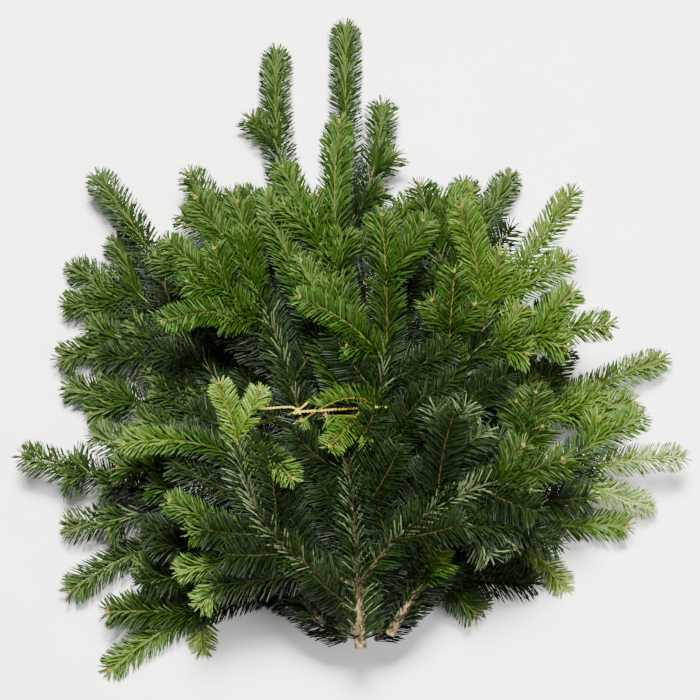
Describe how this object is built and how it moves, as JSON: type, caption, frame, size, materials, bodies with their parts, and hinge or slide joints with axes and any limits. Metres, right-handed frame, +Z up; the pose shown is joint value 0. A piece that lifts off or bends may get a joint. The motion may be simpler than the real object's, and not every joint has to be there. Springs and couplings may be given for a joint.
{
  "type": "tied bunch of cut fir boughs",
  "caption": "Bunch of cut fir greenery lying on its back, its needled boughs fanned out from bare cut stems and tied round the middle with twine.",
  "frame": {"origin": "middle of the bunch's length and width, at the height of the lowest needle tips, on what it lies on", "axes": "+Y from the cut ends to the tips, +X to the right as seen from above with the cut ends near, +Z up out of the bunch's front"},
  "size_m": [0.677, 0.7312, 0.2124],
  "materials": {
    "bark": "matte grey-brown bark with pinkish cut ends",
    "needles_young": "satin, bright yellow-green needles of this year's shoots",
    "needles_green": "satin, mid green needles",
    "needles_dark": "satin, dark green needles of older shoots",
    "needles_pale": "satin, pale grey-green needles",
    "twine": "matte golden twisted twine"
  },
  "bodies": {
    "root": {"bough_front": "bark", "bough_centre": "bark", "bough_upper_left": "bark", "bough_upper_right": "bark", "bough_top": "bark", "bough_back_left": "bark", "bough_back_right": "bark", "bough_left": "bark", "bough_right": "bark", "bough_low_left": "bark", "bough_low_right": "bark", "bough_front_left": "bark", "bough_front_right": "bark", "twine": "twine", "spray_top_leader": "needles_green", "spray_top_left": "needles_green", "spray_top_right": "needles_green", "spray_top_out": "needles_green", "spray_top_across": "needles_green", "spray_tall": "needles_young", "spray_centre_leader": "needles_young", "spray_centre_up": "needles_young", "spray_centre_left": "needles_young", "spray_centre_hanging": "needles_green", "spray_upper_left_leader": "needles_young", "spray_upper_left_out": "needles_young", "spray_upper_right_leader": "needles_young", "spray_upper_right_up": "needles_young", "spray_upper_right_out": "needles_young", "spray_upper_right_in": "needles_green", "spray_back_left_leader": "needles_green", "spray_back_left_spike": "needles_green", "spray_back_left_out": "needles_green", "spray_back_left_low": "needles_green", "spray_back_right_leader": "needles_green", "spray_back_right_up": "needles_green", "spray_back_right_out": "needles_dark", "spray_back_right_far": "needles_pale", "spray_left_leader": "needles_green", "spray_left_up": "needles_green", "spray_left_down": "needles_green", "spray_low_left_leader": "needles_green", "spray_low_left_down": "needles_pale", "spray_low_left_foot": "needles_pale", "spray_right_leader": "needles_pale", "spray_right_up": "needles_green", "spray_right_down": "needles_pale", "spray_right_in": "needles_young", "spray_right_low": "needles_young", "spray_low_right_leader": "needles_green", "spray_low_right_down": "needles_pale", "spray_low_right_foot": "needles_dark", "spray_front_left_leader": "needles_young", "spray_front_left_out": "needles_young", "spray_front_left_in": "needles_young", "spray_front_left_low": "needles_green", "spray_front_left_foot": "needles_young", "spray_front_right_leader": "needles_green", "spray_front_right_up": "needles_dark", "spray_front_right_down": "needles_dark"}
  },
  "joints": []
}
